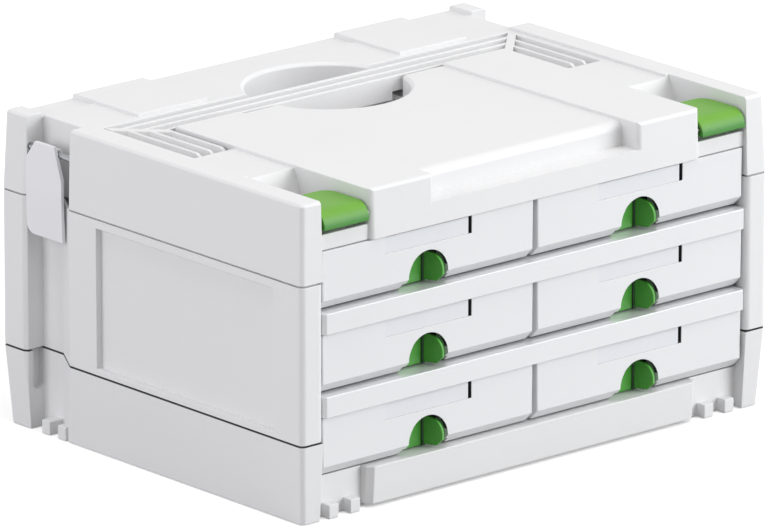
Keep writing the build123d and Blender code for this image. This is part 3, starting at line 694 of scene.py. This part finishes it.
# %% A tree for the guide ribs
def rib_tree():
    """A Geometry Nodes tree that sets pairs of ribs along both side walls of a drawer."""
    tree = bpy.data.node_groups.new("guide_ribs", "GeometryNodeTree")
    sizes = ("Rib Radius", "Rib Height", "Lean", "Pair Gap", "Groove Pitch", "Wall Distance")
    kinds = dict.fromkeys(sizes, "NodeSocketFloat")
    kinds.update({"Grooves": "NodeSocketInt", "Place": "NodeSocketVector", "Finish": "NodeSocketMaterial"})
    inputs = {
        name: tree.interface.new_socket(name, in_out="INPUT", socket_type=kind).identifier
        for name, kind in kinds.items()
    }
    tree.interface.new_socket("Ribs", in_out="OUTPUT", socket_type="NodeSocketGeometry")
    entry = tree.nodes.new("NodeGroupInput")
    size = {name: Wire(tree, entry.outputs[name]) for name in kinds}
    start = Wire(tree, None)

    def point(x=0.0, y=0.0, z=0.0):
        return start.node("ShaderNodeCombineXYZ", None, {"X": x, "Y": y, "Z": z})

    def row(piece, count, pitch):
        first = point(y=pitch * (count - 1) * -0.5)
        line = {"Count": count, "Start Location": first, "Offset": point(y=pitch)}
        points = start.node("GeometryNodeMeshLine", None, line)
        return start.node("GeometryNodeInstanceOnPoints", None, {"Points": points, "Instance": piece})

    def moved(piece, **sockets):
        return start.node("GeometryNodeTransform", None, {"Geometry": piece, **sockets})

    bar = {"Vertices": 12, "Radius": size["Rib Radius"], "Depth": size["Rib Height"]}
    rib = start.node("GeometryNodeMeshCylinder", None, bar)
    rib = moved(rib, Translation=point(x=size["Wall Distance"] * -1.0), Rotation=point(y=size["Lean"]))
    two = start.node("FunctionNodeInputInt", {"integer": 2})
    wall = row(row(rib, two, size["Pair Gap"]), size["Grooves"], size["Groove Pitch"])
    other_wall = moved(wall, Rotation=(0.0, 0.0, math.pi))
    both = tree.nodes.new("GeometryNodeJoinGeometry")
    for side in (wall, other_wall):
        tree.links.new(side.socket, both.inputs[0])
    placed = moved(Wire(tree, both.outputs[0]), Translation=size["Place"])
    plain = start.node("GeometryNodeRealizeInstances", None, {"Geometry": placed})
    done = start.node("GeometryNodeSetMaterial", None, {"Geometry": plain, "Material": size["Finish"]})
    tree.links.new(done.socket, tree.nodes.new("NodeGroupOutput").inputs[0])
    return tree, inputs


ribs_tree, rib_inputs = rib_tree()
print("rib tree:", len(ribs_tree.nodes), "nodes")

# %% [markdown]
# Where the ribs go is measured on the solids. The dividers stand in the second and fourth grooves, which
# gives the pitch and the middle of the row. Two rays from the middle of the drawer to its wall, one low and
# one high, give the wall's distance and how far it leans.

# %% Measure the grooves of a drawer
groove_count = 5
rib_radius = 0.0008
rib_height = 0.029
rib_pair_gap = 0.004
rib_middle = rib_height / 2 - rib_radius / 4
ray_heights = (0.006, 0.028)


def rib_values(tag):
    """The inputs of the rib tree for one drawer."""
    divider_y = np.array([vertex.co.y for vertex in nodes["dividers_" + tag].data.vertices])
    middle = (divider_y.min() + divider_y.max()) / 2
    pitch = (divider_y[divider_y > middle].mean() - divider_y[divider_y < middle].mean()) / 2
    low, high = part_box("dividers_" + tag)
    centre = (low.x + high.x) / 2
    solid = nodes["drawer_" + tag].data
    walls = BVHTree.FromPolygons([v.co for v in solid.vertices], [face.vertices for face in solid.polygons])
    starts = [(centre, middle + pitch / 2, low.z + height) for height in ray_heights]
    low_reach, high_reach = [centre - walls.ray_cast(start, (-1, 0, 0))[0].x for start in starts]
    slope = (high_reach - low_reach) / (ray_heights[1] - ray_heights[0])
    return {
        "Rib Radius": rib_radius,
        "Rib Height": rib_height,
        "Lean": -math.atan(slope),
        "Pair Gap": rib_pair_gap,
        "Groove Pitch": pitch,
        "Wall Distance": low_reach + slope * (rib_middle - ray_heights[0]),
        "Grooves": groove_count,
        "Place": (centre, middle, low.z + rib_middle),
        "Finish": drawer_plastic,
    }


print("grooves are", round(1000 * rib_values("top_left")["Groove Pitch"], 1), "mm apart")

# %% [markdown]
# The tree runs once for each drawer. Its result is made a plain mesh, because the ribs have to ride on the
# drawer as any other piece does.

# %% Guide ribs in the drawers
for tag in [node.removeprefix("drawer_") for node in node_slot if node.startswith("drawer_")]:
    ribs = in_scene("guide_ribs_" + tag, bpy.data.meshes.new("rib_holder_" + tag))
    modifier = ribs.modifiers.new("ribs", "NODES")
    modifier.node_group = ribs_tree
    for name, value in rib_values(tag).items():
        modifier[rib_inputs[name]] = value
    rib_mesh = bpy.data.meshes.new_from_object(ribs.evaluated_get(bpy.context.evaluated_depsgraph_get()))
    ribs.modifiers.remove(modifier)
    ribs.data = rib_mesh
    rib_mesh.set_sharp_from_angle(angle=blend_angle)
    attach(ribs, node_body["drawer_" + tag])
print("ribs in each drawer:", 4 * groove_count, "with", len(rib_mesh.polygons), "faces")

# %% [markdown]
# The studio is a pale floor, an even white surround and three large soft lamps. The surround and the floor
# are white to the camera and in reflections, but send little light back to the case, because light from
# everywhere would wash out its seams.

# %% Surround
surround_light = 0.3


def looked_at(tree):
    """A wire that is 1 for the rays that show a surface, straight or mirrored, and 0 for the others."""
    rays = Wire(tree, None)
    kinds = ("Is Camera Ray", "Is Glossy Ray", "Is Transmission Ray")
    seen = sum((rays.node("ShaderNodeLightPath", output=kind) for kind in kinds), start=0.0)
    return rays.node("ShaderNodeClamp", None, {"Value": seen})


world = bpy.data.worlds.new("studio")
bpy.context.scene.world = world
world.use_nodes = True
background = next(node for node in world.node_tree.nodes if node.type == "BACKGROUND")
background.inputs["Color"].default_value = (1.0, 1.0, 1.0, 1.0)
level = looked_at(world.node_tree) * (1 - surround_light) + surround_light
world.node_tree.links.new(level.socket, background.inputs["Strength"])
print("the surround lights the case at", surround_light)

# %% [markdown]
# The floor is one large matt sheet, a hair below the case so that the two don't flicker. It keeps the soft
# shadow of the case.

# %% Floor
floor_reach = 30.0
floor_drop = 0.0004
floor_bounce = 0.42
floor_white = 0.95
floor_mesh = bpy.data.meshes.new("floor")
floor_corners = [(-1, -1), (1, -1), (1, 1), (-1, 1)]
floor_mesh.from_pydata([(x * floor_reach, y * floor_reach, 0) for x, y in floor_corners], [], [(0, 1, 2, 3)])
floor = in_scene("floor", floor_mesh)
floor.location.z = -floor_drop
floor_material, floor_shader, _ = new_material("pale_floor")
floor_seen = looked_at(floor_material.node_tree)
floor_grey = floor_seen * (floor_white - floor_bounce) + floor_bounce
feed(floor_shader, base_color=floor_grey, emission_color=floor_seen)
floor_shader.inputs["Emission Strength"].default_value = 0.3
floor_shader.inputs["Roughness"].default_value = 0.9
floor_mesh.materials.append(floor_material)
print("floor:", 2 * floor_reach, "m across")

# %% [markdown]
# One lamp hangs overhead, the key stands before the right-hand side, and one stands behind the left. That
# leaves the left side a little darker than the front, and the walls of its recesses darker still, as in the
# photograph.

# %% Lamps
lamp_target = Vector((0, 0, 0.1))


def soft_lamp(name, place, size, watts, tint):
    """A square lamp that points at the case."""
    lamp = bpy.data.lights.new(name, "AREA")
    lamp.color = tint
    lamp.shape = "SQUARE"
    lamp.size = size
    lamp.energy = watts
    stand = in_scene(name, lamp)
    stand.location = place
    point_along(stand, lamp_target - Vector(place))


soft_lamp("overhead", (-0.3, -0.2, 3.0), size=2.8, watts=46.0, tint=(1.0, 0.99, 0.99))
soft_lamp("front_right", (2.2, -2.8, 1.5), size=2.8, watts=125.0, tint=(0.975, 0.985, 1.0))
soft_lamp("left_rear", (-3.0, 0.8, 1.0), size=2.0, watts=43.5, tint=(0.955, 0.955, 1.0))
bpy.context.scene.view_settings.view_transform = "Standard"
print("lamps:", [lamp.name for lamp in bpy.data.lights])
